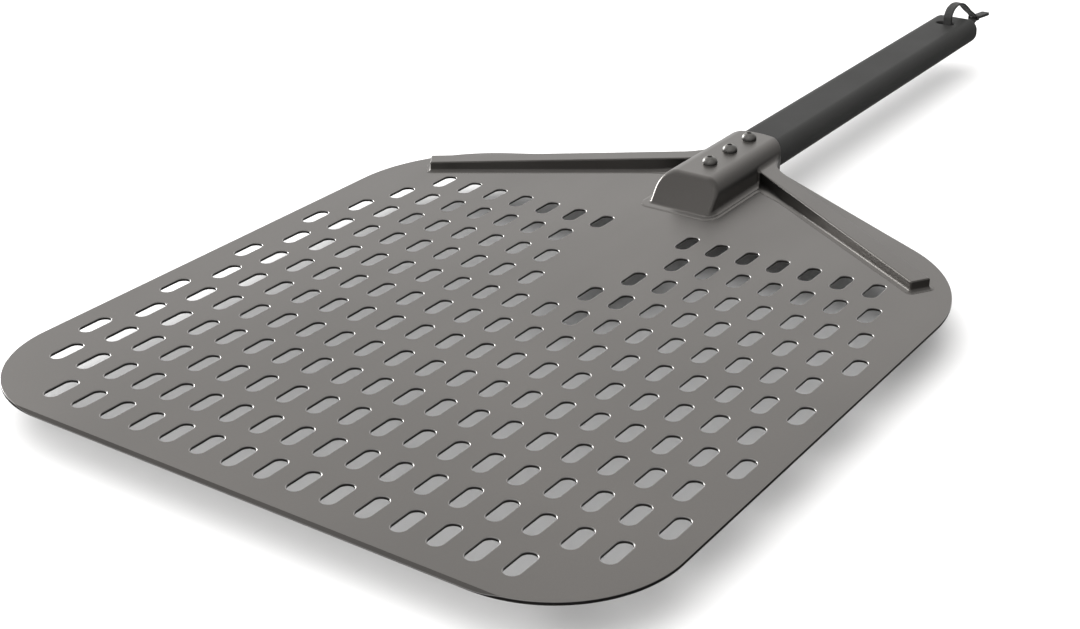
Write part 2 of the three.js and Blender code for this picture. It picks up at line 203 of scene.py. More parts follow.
def rounded_rectangle(u, v, half_u, half_v, radius):
    """A rectangle round the origin with round corners."""
    over_u = np.abs(u) - (half_u - radius)
    over_v = np.abs(v) - (half_v - radius)
    outside = np.hypot(np.maximum(over_u, 0), np.maximum(over_v, 0))
    return outside + np.minimum(np.maximum(over_u, over_v), 0) - radius


def ellipse(u, v, half_u, half_v):
    """Close to the distance from an ellipse round the origin."""
    scaled = np.hypot(u / half_u, v / half_v)
    steepness = np.hypot(u / half_u**2, v / half_v**2)
    return scaled * (scaled - 1) / np.maximum(steepness, 1e-6)


def smooth_step(value, low, high):
    """0 below low, 1 above high, and smooth in between."""
    t = np.clip((value - low) / (high - low), 0, 1)
    return t * t * (3 - 2 * t)


def mix(a, b, share):
    return a + (b - a) * share


def gradient(field, points, step=0.02):
    """The field's slope at each point."""
    slopes = []
    for axis in range(3):
        ahead, behind = points.copy(), points.copy()
        ahead[:, axis] += step
        behind[:, axis] -= step
        slopes.append((field(*ahead.T) - field(*behind.T)) / (2 * step))
    return np.stack(slopes, axis=1)


def surface_net(field, xs, ys, zs):
    """Meshes field = 0: one vertex in each grid cell that the surface crosses, moved on to it."""
    x, y, z = np.meshgrid(xs, ys, zs, indexing="ij")
    inside = field(x, y, z) < 0
    corners = sum(
        inside[i : i - 1 or None, j : j - 1 or None, k : k - 1 or None].astype(np.int8)
        for i in (0, 1) for j in (0, 1) for k in (0, 1)
    )
    cells = np.argwhere((corners > 0) & (corners < 8))
    number = np.full(corners.shape, -1)
    number[tuple(cells.T)] = np.arange(len(cells))

    grid = (np.asarray(xs), np.asarray(ys), np.asarray(zs))
    low = np.stack([g[c] for g, c in zip(grid, cells.T)], axis=1)
    high = np.stack([g[c + 1] for g, c in zip(grid, cells.T)], axis=1)
    points = (low + high) / 2
    for _ in range(6):
        slope = gradient(field, points)
        reach = field(*points.T) / np.maximum((slope**2).sum(axis=1), 1e-3)
        points = np.clip(points - reach[:, None] * slope, low, high)

    faces = []
    for axis in range(3):
        ahead = [slice(None)] * 3
        behind = [slice(None)] * 3
        ahead[axis], behind[axis] = slice(1, None), slice(None, -1)
        crossing = inside[tuple(ahead)] != inside[tuple(behind)]
        edges = np.argwhere(crossing)
        b, c = (axis + 1) % 3, (axis + 2) % 3
        ring = []
        for step_b, step_c in ((0, 0), (1, 0), (1, 1), (0, 1)):
            cell = edges.copy()
            cell[:, b] += step_b - 1
            cell[:, c] += step_c - 1
            ring.append(number[tuple(cell.T)])
        quads = np.stack(ring, axis=1)
        leaving = inside[tuple(behind)][tuple(edges.T)]
        quads[~leaving] = quads[~leaving][:, ::-1]
        faces.append(quads)
    slope = gradient(field, points)
    normals = slope / np.maximum(np.linalg.norm(slope, axis=1), 1e-9)[:, None]
    return points, np.concatenate(faces), normals


def steps(*stops):
    """Grid lines from (position, spacing) stops: each spacing holds up to the next position."""
    lines = []
    for (start, spacing), (end, _) in zip(stops, stops[1:]):
        count = max(1, round((end - start) / spacing))
        lines.extend(np.linspace(start, end, count, endpoint=False))
    return np.array(lines + [stops[-1][0]])


# ------------------------------------------------------------------ pieces


def add_piece(name, points, faces, normals, material, body, node):
    """Makes one smooth mesh, with the vertex normals if given, for the CAD node if given."""
    mesh = bpy.data.meshes.new(name)
    placed = np.asarray(points) * MM + np.array([0, ORIGIN_Y, 0])
    mesh.from_pydata(placed.tolist(), [], [list(face) for face in faces])
    mesh.polygons.foreach_set("use_smooth", [True] * len(mesh.polygons))
    if normals is not None:
        mesh.normals_split_custom_set_from_vertices(normals.tolist())
    mesh.materials.append(material)
    piece = bpy.data.objects.new(name, mesh)
    bpy.context.scene.collection.objects.link(piece)
    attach(piece, body)
    if node is not None:
        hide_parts(node)
    return piece


# ------------------------------------------------------------------ blade


def arc(centre, radius, start, end, count):
    """Points on an arc, both ends included."""
    angles = np.linspace(start, end, count + 1)
    return np.stack([centre[0] + radius * np.cos(angles), centre[1] + radius * np.sin(angles)], 1)


def blade_outline():
    """The blade's outline in plan, counter-clockwise."""
    b = BLADE
    width, angle = b["half_width"], b["shoulder_angle"]
    front, rear, neck = b["front_corner_radius"], b["rear_corner_radius"], b["neck_fillet_radius"]
    rear_centre = np.array([width - rear, b["rear_corner_centre_y"]])
    normal = np.array([math.cos(angle), math.sin(angle)])
    neck_x = b["neck_half_width"] + neck
    neck_y = (rear_centre @ normal + rear + neck - neck_x * normal[0]) / normal[1]
    right = np.concatenate([
        arc((width - front, front - BEVEL["run"]), front, -math.pi / 2, 0, 32),
        arc(rear_centre, rear, 0, angle, 40),
        arc((neck_x, neck_y), neck, angle - math.pi, -math.pi, 16),
        [
            [b["neck_half_width"], b["neck_end_y"]],
            [b["tang_half_width"], b["neck_end_y"]],
            [b["tang_half_width"], b["tang_end_y"]],
        ],
    ])
    left = right[::-1] * [-1, 1]
    return np.concatenate([right, left])


def slot_outlines():
    """Each slot's outline in plan, clockwise."""
    radius = SLOT["width"] / 2
    reach = SLOT["length"] / 2 - radius
    outline = np.concatenate([
        arc((0, reach), radius, 0, math.pi, 12),
        arc((0, -reach), radius, math.pi, 2 * math.pi, 12),
    ])[::-1]
    outlines = []
    for row, (inner, outer) in enumerate(ROW_SPANS):
        pitch = ROWS["pitches"][row % 2]
        for place in np.arange(-outer, outer + 1):
            if abs(place) >= inner:
                outlines.append(outline + [place * pitch, ROWS["first_y"] + row * ROWS["spacing"]])
    return outlines


def loop_normals(loop):
    """Unit normals of a closed loop, to the right of its direction of travel."""
    along = np.roll(loop, -1, axis=0) - loop
    along /= np.linalg.norm(along, axis=1)[:, None]
    middle = along + np.roll(along, 1, axis=0)
    middle /= np.linalg.norm(middle, axis=1)[:, None]
    return np.stack([middle[:, 1], -middle[:, 0]], axis=1)


def rounded_plate(loops, radii, thickness, creases, edge_steps=3):
    """A plate with holes whose upper and lower edges are rounded. The first loop is the outline.

    The creases are lines that the upper side's triangles don't cross. The last result says how
    much of an edge each point is, from 0 to 1.
    """
    turns = np.linspace(0, math.pi / 2, edge_steps + 1)
    points, normals, edge, faces, caps = [], [], [], [], {1: [], -1: []}
    base = 0
    for loop, radius in zip(loops, radii):
        outward = loop_normals(loop)
        count = len(loop)
        rings = [(-turn, radius - radius * math.sin(turn)) for turn in turns[::-1]]
        rings += [(turn, thickness - radius + radius * math.sin(turn)) for turn in turns]
        for turn, height in rings:
            inset = radius * (1 - math.cos(turn))
            points.append(np.column_stack([loop - outward * inset, np.full(count, height)]))
            normals.append(
                np.column_stack([outward * math.cos(turn), np.full(count, math.sin(turn))])
            )
            edge.append(np.full(count, abs(math.sin(2 * turn))))
        here = np.arange(count)
        after = np.roll(here, -1)
        for ring in range(len(rings) - 1):
            lower = base + ring * count
            upper = lower + count
            faces.append(
                np.stack([lower + here, lower + after, upper + after, upper + here], axis=1)
            )
        caps[-1].append(base + here)
        caps[1].append(base + (len(rings) - 1) * count + here)
        base += len(rings) * count
    folds = {1: [], -1: []}
    for crease in creases:
        count = len(crease)
        points.append(np.column_stack([crease, np.full(count, thickness)]))
        normals.append(np.tile([0, 0, 1], (count, 1)))
        edge.append(np.zeros(count))
        folds[1].append(base + np.arange(count))
        base += count
    points = np.concatenate(points)
    quads = np.concatenate(faces).tolist()
    triangles = []
    for side, rims in caps.items():
        members = np.concatenate(rims + folds[side])
        filled = fill(points[members, :2], rims, folds[side])
        triangles += [members[list(face)][::side].tolist() for face in filled]
    return points, quads + triangles, np.concatenate(normals), np.concatenate(edge)


def fill(flat, rims, folds):
    """Triangles between the closed rims, none across an open fold, as numbers into flat."""
    edges = []
    start = 0
    for rim in rims:
        count = len(rim)
        edges += [(start + i, start + (i + 1) % count) for i in range(count)]
        start += count
    for fold in folds:
        edges += [(start + i, start + i + 1) for i in range(len(fold) - 1)]
        start += len(fold)
    _, _, faces, _, _, _ = delaunay_2d_cdt([Vector(p) for p in flat], edges, [], 1, 1e-7)
    rim_of = np.full(len(flat), -1)
    counts = [len(rim) for rim in rims]
    rim_of[: sum(counts)] = np.repeat(np.arange(len(rims)), counts)
    # a triangle with all its corners on one hole's rim lies over that hole
    return [face for face in faces if len(set(rim_of[list(face)])) > 1 or rim_of[face[0]] <= 0]


def bevel_creases(half_gap=0.1):
    """Two lines across the blade, just ahead of and just behind the start of the bevel."""
    b = BLADE
    radius = b["front_corner_radius"] - b["edge_radius"]
    lines = []
    for y in (-half_gap, half_gap):
        below_centre = b["front_corner_radius"] - BEVEL["run"] - y
        end = b["half_width"] - b["front_corner_radius"]
        end += math.sqrt(radius**2 - below_centre**2) - half_gap
        lines.append(np.array([[-end, y], [end, y]]))
    return lines


def press_bevel(points, normals):
    """Lowers the upper side ahead of Y = 0 on to the bevel's plane."""
    limit = BLADE["thickness"] + points[:, 1] * BEVEL["drop"] / BEVEL["run"]
    above = (points[:, 1] < 0) & (points[:, 2] > limit)
    points[above, 2] = limit[above]
    length = math.hypot(BEVEL["run"], BEVEL["drop"])
    normals[above & (normals[:, 2] > 0)] = [0, -BEVEL["drop"] / length, BEVEL["run"] / length]


def make_blade(material):
    holes = slot_outlines()
    radii = [BLADE["edge_radius"]] + [SLOT["edge_radius"]] * len(holes)
    points, faces, normals, edge = rounded_plate(
        [blade_outline()] + holes, radii, BLADE["thickness"], bevel_creases()
    )
    press_bevel(points, normals)
    points += [0, 0, BLADE["top"] - BLADE["thickness"]]
    blade = add_piece("perforated_blade", points, faces, normals, material, "peel", "blade")
    # how much of a rounded rim each point is; the metal paints these rims lighter, a painted highlight
    rim_highlight_layer = blade.data.attributes.new("rim_highlight_paint", "FLOAT", "POINT")
    rim_highlight_layer.data.foreach_set("value", edge)


# ------------------------------------------------------------------ bracket

rib_run = RIB["tip"] - RIB["root"]
RIB_LENGTH = float(np.linalg.norm(rib_run))
RIB_ALONG = rib_run / RIB_LENGTH
RIB_OUT = np.array([-RIB_ALONG[1], RIB_ALONG[0]])


def hood_field(x, y, z):
    h = HOOD
    radius = h["corner_radius"]
    side = np.abs(x) - (h["half_width"] - radius)
    up = z - (h["top"] - radius)
    outside = np.hypot(np.maximum(side, 0), np.maximum(up, 0))
    section = outside + np.minimum(np.maximum(side, up), 0) - radius
    run = h["nose_top_y"] - h["nose_foot_y"]
    rise = h["top"] - h["nose_foot_z"]
    nose = (h["nose_foot_y"] - y) * rise + (z - h["nose_foot_z"]) * run
    return both(section, nose / math.hypot(run, rise), h["nose_edge_radius"])


def rib_field(x, y, z):
    """Both ribs: the right-hand one and its mirror image."""
    across_x = np.abs(x) - RIB["root"][0]
    along = across_x * RIB_ALONG[0] + (y - RIB["root"][1]) * RIB_ALONG[1]
    out = across_x * RIB_OUT[0] + (y - RIB["root"][1]) * RIB_OUT[1]
    slope = (RIB["tip_height"] - RIB["root_height"]) / RIB_LENGTH
    wall = np.maximum(np.abs(x) - HOOD["half_width"] + RIB["gusset_inset"],
                      RIB["root"][1] + RIB["gusset_start"] - y)
    side = np.maximum(-out, either(out - RIB["width"], wall, RIB["gusset_fillet"]))
    top = z - RIB["root_height"] - slope * along
    section = both(side, top, RIB["edge_radius"])
    return both(section, along - RIB_LENGTH, RIB["edge_radius"])


def pressing_field(x, y, z, fillet):
    """The hood and the ribs as one block, without their foot."""
    return either(hood_field(x, y, z), rib_field(x, y, z), fillet)


def blade_edge_field(x, y):
    """The rear part of the blade in plan."""
    b = BLADE
    normal = np.array([math.cos(b["shoulder_angle"]), math.sin(b["shoulder_angle"])])
    centre = np.array([b["half_width"] - b["rear_corner_radius"], b["rear_corner_centre_y"]])
    reach = centre @ normal + b["rear_corner_radius"]
    shoulder = np.abs(x) * normal[0] + y * normal[1] - reach
    return either(shoulder, np.abs(x) - b["neck_half_width"], b["neck_fillet_radius"])


def bracket_field(x, y, z):
    base = BLADE["top"]
    blend_start, blend_end = FOOT["rib_blend"]
    by_rib = smooth_step(np.abs(x), HOOD["half_width"] + blend_start, HOOD["half_width"] + blend_end)
    behind_nose = smooth_step(y, HOOD["nose_foot_y"], HOOD["nose_foot_y"] + FOOT["nose_blend"])
    hood_fillet = mix(FOOT["nose_fillet"], FOOT["hood_fillet"], behind_nose)
    fillet = mix(hood_fillet, FOOT["rib_fillet"], by_rib)
    reach = mix(FOOT["hood_reach"], FOOT["rib_reach"], by_rib)

    body = pressing_field(x, y, z, RIB["root_fillet"])
    spread = pressing_field(x, y, np.full_like(z, base), FOOT["corner_fillet"]) - reach
    edge = both(spread, blade_edge_field(x, y) + FOOT["edge_radius"], FOOT["edge_radius"])
    foot_top = base + FOOT["thickness"] * np.clip(-edge / FOOT["taper"], 0, 1)
    foot = both(edge, z - foot_top, FOOT["edge_radius"])
    shell = both(either(body, foot, fillet), -(body + SHEET), FOOT["edge_radius"])

    rim_depth = HOOD["rim_top_y"] - HOOD["rim_side_y"]
    behind = np.maximum(y - HOOD["rim_side_y"], 0)
    rim = ellipse(x, behind, HOOD["half_width"] + HOOD["rim_margin"], rim_depth)
    straight = np.abs(x) > HOOD["half_width"] + HOOD["rim_straight_from"]
    rim = np.where(straight, y - HOOD["rim_side_y"], rim)
    rim = np.where(y < HOOD["rim_side_y"], -FOOT["hood_reach"], rim)
    shell = both(shell, rim, FOOT["edge_radius"])

    for screw_y in SCREWS.values():
        hole = SCREW["shank_radius"] + SCREW["hole_gap"] - np.hypot(x, y - screw_y)
        shell = np.maximum(shell, hole)
    return np.maximum(shell, base + BRACKET_GAP - z)


def make_bracket(material):
    half = bracket_high[0] + 1
    fine = 0.5
    xs = steps((-half, fine), (half, fine))
    ys = steps((bracket_low[1] - 1, fine), (bracket_high[1] + 1, fine))
    base = BLADE["top"]
    zs = steps((base - 0.05, 0.06), (base + 0.25, 0.2), (base + 1, 0.4),
               (bracket_high[2] + 0.5, fine))
    points, faces, normals = surface_net(bracket_field, xs, ys, zs)
    bracket = add_piece("pressed_bracket", points, faces, normals, material, "peel", "bracket")
    bracket.visible_glossy = False  # its dark side would smear over the satin blade


# ------------------------------------------------------------------ handle


def handle_field(x, y, z):
    h = HANDLE
    half_height = h["height"] / 2
    section = rounded_rectangle(x, z - half_height, h["half_width"], half_height,
                                h["corner_radius"])
    middle = (h["front_y"] + h["end_y"]) / 2
    ends = np.abs(y - middle) - (h["end_y"] - h["front_y"]) / 2
    body = both(section, ends, h["end_radius"])

    gap = h["seat_gap"]
    seat = np.maximum(z - BLADE["top"] - gap, y - BLADE["neck_end_y"] - gap)
    tang = np.maximum(np.abs(x) - BLADE["tang_half_width"] - gap, y - BLADE["tang_end_y"] - gap)
    tang = np.maximum(tang, z - BLADE["top"] - gap)
    body = both(body, -np.minimum(seat, tang), h["seat_edge_radius"])

    for screw_y in SCREWS.values():
        bore = np.hypot(x, y - screw_y) - INSERT["outer"] - h["bore_gap"]
        body = np.maximum(body, -np.maximum(bore, BLADE["top"] + h["bore_floor"] - z))

    slot = rounded_rectangle(x, y - STRAP_SLOT["y"], STRAP_SLOT["half_width"],
                             STRAP_SLOT["half_length"], STRAP_SLOT["half_length"])
    body = both(body, -slot, STRAP_SLOT["mouth_radius"])
    groove = np.maximum(np.abs(x) - GROOVE["half_width"], STRAP_SLOT["y"] - y)
    groove = np.maximum(groove, z - GROOVE["depth"])
    return both(body, -groove, GROOVE["edge_radius"])


def make_handle(material):
    h = HANDLE
    xs = steps((-h["half_width"] - 1, 0.5), (h["half_width"] + 1, 0.5))
    zs = steps((-1, 0.5), (h["height"] + 1, 0.5))
    ys = steps((h["front_y"] - 1, 0.6), (BLADE["tang_end_y"] + 2, 4), (STRAP_SLOT["y"] - 9, 0.5),
               (h["end_y"] + 1, 0.5))
    points, faces, normals = surface_net(handle_field, xs, ys, zs)
    add_piece("moulded_handle", points, faces, normals, material, "peel", "handle")


# ------------------------------------------------------------------ fasteners


def screw_field(x, y, z):
    """A domed socket screw with the underside of its head at z = 0."""
    s = SCREW
    radius = np.hypot(x, y)
    dome = ellipse(radius, np.maximum(z - s["head_edge"], 0), s["head_radius"],
                   s["head_height"] - s["head_edge"])
    head = both(dome, -z, 0.2)
    half_flats = s["socket_across_flats"] / 2
    socket = np.max([
        np.abs(x * math.cos(turn) + y * math.sin(turn)) - half_flats
        for turn in (0, math.pi / 3, 2 * math.pi / 3)
    ], axis=0)
    head = both(head, -np.maximum(socket, s["head_height"] - s["socket_depth"] - z), 0.2)
    turn = (np.arctan2(y, x) / (2 * math.pi) + z / s["thread_pitch"]) % 1
    crest = np.abs(turn - 0.5) * 2
    shank = radius - (s["shank_radius"] - s["thread_depth"] * crest)
    # scaled down, since the thread makes the field steeper than one per millimetre
    shank = np.maximum(both(shank * 0.7, -(z + s["length"]), 0.5), z - 0.3)
    return np.minimum(head, shank)


def insert_field(x, y, z):
    """A knurled threaded insert standing on z = 0."""
    i = INSERT
    radius = np.hypot(x, y)
    angle = np.arctan2(y, x) / (2 * math.pi)
    lead = z / i["knurl_lead"]
    ridges = [np.abs(((angle + way * lead) * i["knurl_ridges"]) % 1 - 0.5) for way in (1, -1)]
    outside = radius - i["outer"] + i["knurl_depth"] * (1 - 2 * np.minimum(*ridges))
    middle = np.abs(z - i["length"] / 2) - i["groove"] / 2
    outside = np.maximum(outside, np.minimum(-middle, radius - i["outer"] + i["groove_depth"]))
    thread = np.abs((angle + z / SCREW["thread_pitch"]) % 1 - 0.5)
    bore = i["inner"] + i["thread_depth"] * thread - radius
    ends = np.abs(z - i["length"] / 2) - i["length"] / 2
    # scaled down, since knurl and thread make the field steeper than one per millimetre
    return both(both(outside * 0.8, bore * 0.8, 0.1), ends, 0.3)


def make_fasteners(screw_material, insert_material):
    reach = SCREW["head_radius"] + 0.4
    screw = surface_net(
        screw_field, steps((-reach, 0.15), (reach, 0.15)), steps((-reach, 0.15), (reach, 0.15)),
        steps((-SCREW["length"] - 0.4, 0.1), (SCREW["head_height"] + 0.4, 0.1)),
    )
    reach = INSERT["outer"] + 0.3
    insert = surface_net(
        insert_field, steps((-reach, 0.13), (reach, 0.13)), steps((-reach, 0.13), (reach, 0.13)),
        steps((-0.3, 0.13), (INSERT["length"] + 0.3, 0.13)),
    )
    for place, y in SCREWS.items():
        points, faces, normals = screw
        add_piece(f"socket_screw_{place}", points + [0, y, HOOD["top"]], faces, normals,
                  screw_material, "peel", f"screw_{place}")
        points, faces, normals = insert
        add_piece(f"threaded_insert_{place}", points + [0, y, INSERT["base_z"]], faces, normals,
                  insert_material, "peel", f"insert_{place}")


# ------------------------------------------------------------------ strap

# Centre line of the webbing in (Y, Z): from the end of the upper ply of the tail, over the top of
# the handle, down through its slot, back underneath, and out along the lower ply. The points of
# the arch over the handle were measured with another program and then moved slightly by hand.
STRAP = {
    "centre_x": 1.7,
    "half_width": 2.8,
    "thickness": 1,
    "rings": 520,
    "points_across": 18,
    "thread_pitch_along": 0.6,
    "thread_pitch_across": 0.55,
    "thread_lift": 0.05,
    "path": [
        (710, 6.35), (702, 7.2), (694, 8.1), (689.2, 8.9), (686.9, 10.2), (684, 12.1),
        (677, 15.9), (669.9, 20.4), (663.2, 23.7), (655.2, 25), (648.4, 23.6), (645, 20),
        (645.2, 15), (645.4, 9), (645.6, 4), (646.9, 1.5), (650, 0.7), (657, 0.7), (665, 0.8),
        (672, 1.9), (681, 4.3), (686.4, 6.5), (690, 7.2), (694, 7.05), (702, 6.15), (710, 5.3),
    ],
}


def strap_line(count):
    """Points and unit tangents along the webbing's centre line, evenly spaced."""
    knots = np.array(STRAP["path"], float)
    padded = np.vstack([2 * knots[0] - knots[1], knots, 2 * knots[-1] - knots[-2]])
    line = []
    for p0, p1, p2, p3 in zip(padded, padded[1:], padded[2:], padded[3:]):
        for t in np.linspace(0, 1, 24, endpoint=False):
            line.append(
                0.5 * (2 * p1 + (p2 - p0) * t + (2 * p0 - 5 * p1 + 4 * p2 - p3) * t * t
                       + (3 * p1 - p0 - 3 * p2 + p3) * t**3)
            )
    line = np.array(line + [knots[-1]])
    length = np.concatenate([[0], np.cumsum(np.linalg.norm(np.diff(line, axis=0), axis=1))])
    even = np.linspace(0, length[-1], count)
    points = np.stack([np.interp(even, length, line[:, 0]), np.interp(even, length, line[:, 1])], 1)
    tangents = np.gradient(points, axis=0)
    tangents /= np.linalg.norm(tangents, axis=1)[:, None]
    return points, tangents, even


def make_strap(material):
    s = STRAP
    centres, tangents, lengths = strap_line(s["rings"])
    across = s["points_across"]
    half, width = s["thickness"] / 2, s["half_width"]
    # the section, once round: over the outer face from -X to +X, then back along the inner face
    spread = np.sin(np.linspace(-math.pi / 2, math.pi / 2, across))
    section = [(width * u, half * (1 - u**8) ** 0.5, 1) for u in spread]
    section += [(width * u, -half * (1 - u**8) ** 0.5, -1) for u in spread[::-1][1:-1]]
    count = len(section)
    points, along_across = [], []
    for (y, z), (ty, tz), length in zip(centres, tangents, lengths):
        for u, lift, face in section:
            # plain weave: every thread crossing rises a little
            wave = math.cos(length * math.pi / s["thread_pitch_along"])
            wave *= math.cos(u * math.pi / s["thread_pitch_across"])
            height = lift + s["thread_lift"] * face * wave * (1 - (abs(u) / width) ** 6)
            points.append((s["centre_x"] + u, y + tz * height, z - ty * height))
            along_across.append((length, u))
    faces = []
    for ring in range(len(centres) - 1):
        for i in range(count):
            a, b = ring * count + i, ring * count + (i + 1) % count
            faces.append((a, b, b + count, a + count))
    last = (len(centres) - 1) * count
    faces.append(list(range(count))[::-1])
    faces.append([last + i for i in range(count)])
    strap = add_piece("webbing_strap", points, faces, None, material, "strap", "strap")
    layer = strap.data.uv_layers.new(name="weave")
    for loop in strap.data.loops:
        layer.data[loop.index].uv = along_across[loop.vertex_index]


BAR_TACK = {
    "first_y": 688.2,
    "first_z": 8.1,
    "fall": 0.15,  # how fast the plies drop towards the tail
    "pitch": 0.7,
    "threads": 5,
    "thread_radius": 0.35,
    "half_height": 1.3,
    "side_gap": 0.12,
    "roundness": 0.35,  # 1 makes each stitch an ellipse, and less makes it squarer
    "points_round": 32,
    "thread_sides": 8,
}


def squared(value):
    """A sine or cosine pushed towards -1 and 1, which turns a circle into a rounded square."""
    return np.sign(value) * abs(value) ** BAR_TACK["roundness"]


def make_bar_tack(material):
    """The stitches that hold the two plies together where the loop closes."""
    t = BAR_TACK
    radius, sides = t["thread_radius"], t["thread_sides"]
    around = np.linspace(0, 2 * math.pi, t["points_round"], endpoint=False)
    reach = STRAP["half_width"] + t["side_gap"]
    points, faces = [], []
    for thread in range(t["threads"]):
        y = t["first_y"] + t["pitch"] * thread
        z = t["first_z"] - (y - t["first_y"]) * t["fall"]
        for turn in around:
            # a flat ring round both plies, in the XZ plane
            cx = STRAP["centre_x"] + reach * squared(math.cos(turn))
            cz = z + t["half_height"] * squared(math.sin(turn))
            out = np.array([math.cos(turn), 0, math.sin(turn)])
            for k in range(sides):
                tilt = 2 * math.pi * k / sides
                offset = out * radius * math.cos(tilt) + np.array([0, radius * math.sin(tilt), 0])
                points.append(np.array([cx, y, cz]) + offset)
        base = thread * len(around) * sides
        for i in range(len(around)):
            here, after = base + i * sides, base + (i + 1) % len(around) * sides
            for k in range(sides):
                beside = (k + 1) % sides
                faces.append((here + k, after + k, after + beside, here + beside))
    add_piece("bar_tack", points, faces, None, material, "strap", None)


# ------------------------------------------------------------------ materials


class Shader:
    """A material's nodes, made and joined by short calls."""

    def __init__(self, name):
        self.material = bpy.data.materials.new(name)
        self.material.use_nodes = True
        self.tree = self.material.node_tree
        self.surface = self.tree.nodes["Principled BSDF"]

    def node(self, kind, settings=None, **inputs):
        made = self.tree.nodes.new(kind)
        for key, value in (settings or {}).items():
            setattr(made, key, value)
        for key, value in inputs.items():
            self.feed(made.inputs[key.replace("_", " ")], value)
        return made

    def feed(self, socket, value):
        if isinstance(value, bpy.types.NodeSocket):
            self.tree.links.new(value, socket)
        else:
            socket.default_value = value

    def place(self):
        """The position on the piece at rest, in metres."""
        return self.node("ShaderNodeTexCoord").outputs["Object"]

    def noise(self, scale, detail=2.0, stretch=(1, 1, 1), roughness=0.5):
        mapped = self.node("ShaderNodeMapping", Vector=self.place(), Scale=stretch)
        return self.node("ShaderNodeTexNoise", Vector=mapped.outputs["Vector"], Scale=scale,
                         Detail=detail, Roughness=roughness).outputs["Fac"]

    def spread(self, value, low, high, from_low=0.3, from_high=0.7):
        """Maps a 0 to 1 value, such as noise, to the range low to high."""
        made = self.node("ShaderNodeMapRange", Value=value)
        made.inputs["From Min"].default_value = from_low
        made.inputs["From Max"].default_value = from_high
        made.inputs["To Min"].default_value = low
        made.inputs["To Max"].default_value = high
        return made.outputs["Result"]

    def blend(self, share, first, second):
        made = self.node("ShaderNodeMix", {"data_type": "RGBA"})
        self.feed(made.inputs["Factor"], share)
        self.feed(made.inputs["A"], first)
        self.feed(made.inputs["B"], second)
        for socket in made.outputs:
            if socket.type == "RGBA":
                return socket

    def bump(self, height, distance, strength=1.0, under=None):
        made = self.node("ShaderNodeBump", Height=height, Distance=distance, Strength=strength)
        if under is not None:
            self.feed(made.inputs["Normal"], under)
        return made.outputs["Normal"]

    def finish(self, **inputs):
        for key, value in inputs.items():
            self.feed(self.surface.inputs[key.replace("_", " ")], value)
        return self.material


def anodised_metal():
    """Bead-blasted, hard-anodised aluminium: warm grey, satin; the blade's rims get a lower roughness
    and a painted highlight, a lighter colour that makes them catch the key light.
    """
    s = Shader("anodised_metal")
    clouds = s.noise(9, 3)
    smears = s.noise(26, 4, (1, 0.25, 1))
    grain = s.noise(1500, 2)
    rim_highlight_share = s.node("ShaderNodeAttribute", {"attribute_name": "rim_highlight_paint"}).outputs["Fac"]
    color = s.blend(s.spread(clouds, 0, 1), (0.18, 0.172, 0.163, 1), (0.197, 0.187, 0.177, 1))
    color = s.blend(s.spread(grain, 0, 0.12), color, (0.14, 0.134, 0.128, 1))
    # painted highlight: the rims are painted lighter so that they glint under the key light
    color = s.blend(rim_highlight_share, color, (0.5, 0.49, 0.48, 1))
    # the rims also get a lower roughness, which is a real material change
    roughness = s.node("ShaderNodeMix", {"data_type": "FLOAT"}, Factor=rim_highlight_share,
                       A=s.spread(smears, 0.3, 0.36), B=0.3).outputs["Result"]
    normal = s.bump(grain, 0.00003, 0.35)
    return s.finish(Base_Color=color, Metallic=1.0, Roughness=roughness, Normal=normal)


def grip_plastic():
    """Charcoal plastic with a fine spark-eroded texture."""
    s = Shader("grip_plastic")
    pores = s.noise(2400, 3, roughness=0.6)
    patches = s.noise(30, 3)
    color = s.blend(s.spread(patches, 0, 1), (0.023, 0.023, 0.0222, 1), (0.028, 0.028, 0.027, 1))
    roughness = s.spread(patches, 0.5, 0.58)
    normal = s.bump(pores, 0.00006, 0.5)
    return s.finish(Base_Color=color, Roughness=roughness, Specular_IOR_Level=0.2, Normal=normal)


def screw_steel():
    """Dull stainless steel with fine scratches."""
    s = Shader("screw_steel")
    scratches = s.noise(900, 3, (1, 6, 1))
    color = s.blend(s.spread(scratches, 0, 1), (0.25, 0.243, 0.232, 1), (0.29, 0.283, 0.27, 1))
    roughness = s.spread(scratches, 0.36, 0.42)
    normal = s.bump(scratches, 0.00001, 0.2)
    return s.finish(Base_Color=color, Metallic=1.0, Roughness=roughness, Normal=normal)


def insert_brass():
    """Machined brass, dulled in patches, with fine turned rings."""
    s = Shader("insert_brass")
    dull = s.noise(700, 4)
    rings = s.noise(300, 2, (1, 1, 14))
    color = s.blend(s.spread(dull, 0, 1), (0.66, 0.47, 0.2, 1), (0.78, 0.6, 0.3, 1))
    roughness = s.spread(dull, 0.24, 0.42)
    normal = s.bump(rings, 0.00003, 0.5)
    return s.finish(Base_Color=color, Metallic=1.0, Roughness=roughness, Normal=normal)


